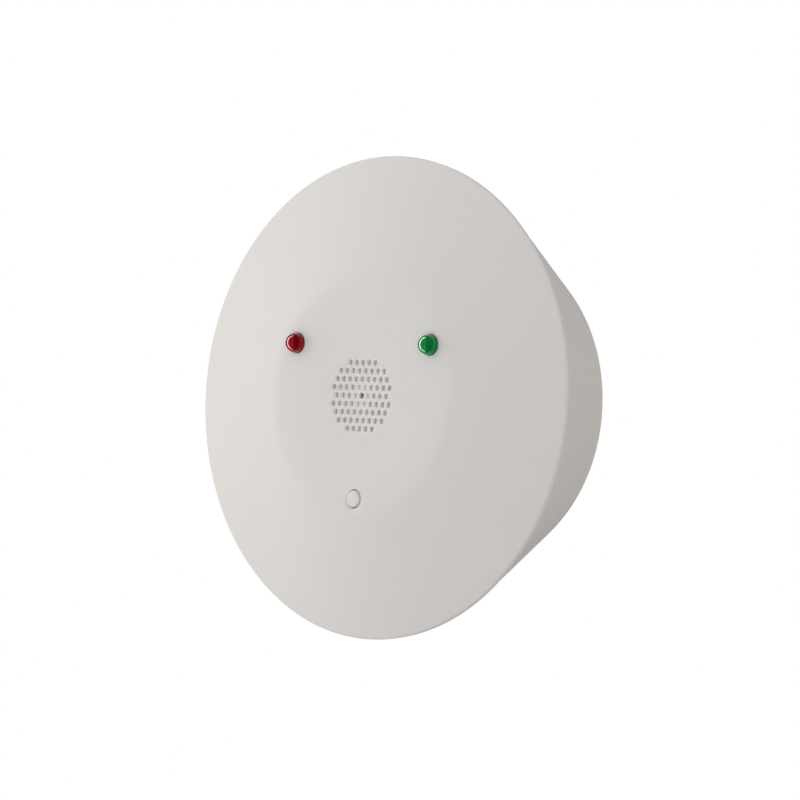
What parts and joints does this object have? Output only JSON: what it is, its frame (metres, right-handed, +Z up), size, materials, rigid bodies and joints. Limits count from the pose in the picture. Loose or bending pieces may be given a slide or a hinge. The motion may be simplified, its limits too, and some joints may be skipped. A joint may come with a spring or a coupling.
{
  "type": "alarm siren",
  "caption": "Round battery alarm siren for a wall or ceiling: perforated sounder grille, two indicator lamps and a test button on a tapered housing that twists on to a plate.",
  "frame": {"origin": "centre of the wall plate's back face, which lies on the wall", "axes": "+Y into the wall, so the front of the siren faces -Y; +Z up, with the lamps above the middle and the button below; +X to the right as seen from the front"},
  "size_m": [0.12, 0.0512, 0.12],
  "materials": {
    "cover_plastic": "fine satin moulded plastic, warm off-white",
    "housing_plastic": "fine satin moulded plastic, warm off-white",
    "white_plastic": "satin moulded plastic",
    "button_plastic": "smooth moulded plastic, slightly warmer than the cover",
    "red_lens": "clear red tinted epoxy lens",
    "green_lens": "clear green tinted epoxy lens",
    "zinc_steel": "zinc-plated steel",
    "board": "green solder mask on glass-fibre laminate",
    "black_plastic": "black moulded plastic",
    "brass": "thin rolled brass",
    "ceramic": "silvered piezo ceramic",
    "contact_metal": "tin-plated metal",
    "screen_cloth": "fine white nonwoven cloth",
    "foam": "closed-cell foam",
    "chip_epoxy": "moulded epoxy",
    "can_aluminium": "drawn aluminium can",
    "ferrite": "pressed ferrite",
    "copper": "enamelled copper wire",
    "battery_case": "printed steel sleeve, left plain",
    "red_insulation": "flexible wire insulation",
    "black_insulation": "flexible wire insulation",
    "header_nylon": "natural nylon"
  },
  "bodies": {
    "wall_plate": {"wall_plate": "white_plastic"},
    "housing": {"battery": "battery_case", "battery_studs": "contact_metal", "chip_parts": "chip_epoxy", "coil_winding": "copper", "controller_chip": "chip_epoxy", "controller_pins": "contact_metal", "drive_coil": "ferrite", "dust_screen": "screen_cloth", "front_cover": "cover_plastic", "green_lamp": "green_lens", "green_lamp_leads": "contact_metal", "green_lamp_spacer": "black_plastic", "housing_screws": "zinc_steel", "lead_header": "header_nylon", "main_board": "board", "negative_lead": "black_insulation", "positive_lead": "red_insulation", "rear_housing": "housing_plastic", "red_lamp": "red_lens", "red_lamp_leads": "contact_metal", "red_lamp_spacer": "black_plastic", "snap_connector": "black_plastic", "sounder_back": "black_plastic", "sounder_case": "black_plastic", "sounder_ceramic": "ceramic", "sounder_diaphragm": "brass", "sounder_gasket": "foam", "sounder_pins": "contact_metal", "storage_capacitor": "can_aluminium", "tamper_switch_body": "black_plastic", "test_switch_body": "black_plastic", "test_switch_terminals": "contact_metal"},
    "button": {"test_button": "button_plastic", "test_switch_plunger": "black_plastic"},
    "tamper_pin": {"tamper_pin": "white_plastic", "tamper_switch_plunger": "black_plastic"}
  },
  "joints": [
    {"name": "bayonet_twist", "type": "hinge", "parent": "wall_plate", "child": "housing", "pos_m": [0, 0, 0], "axis": [0, -1, 0], "range_deg": [0, 22]},
    {"name": "test_press", "type": "slide", "parent": "housing", "child": "button", "axis": [0, 1, 0], "range_m": [0, 0.0005], "stiffness_N_per_m": 800, "springref_m": -0.0005},
    {"name": "tamper_press", "type": "slide", "parent": "housing", "child": "tamper_pin", "axis": [0, -1, 0], "range_m": [0, 0.0005], "stiffness_N_per_m": 800, "springref_m": -0.0005}
  ]
}
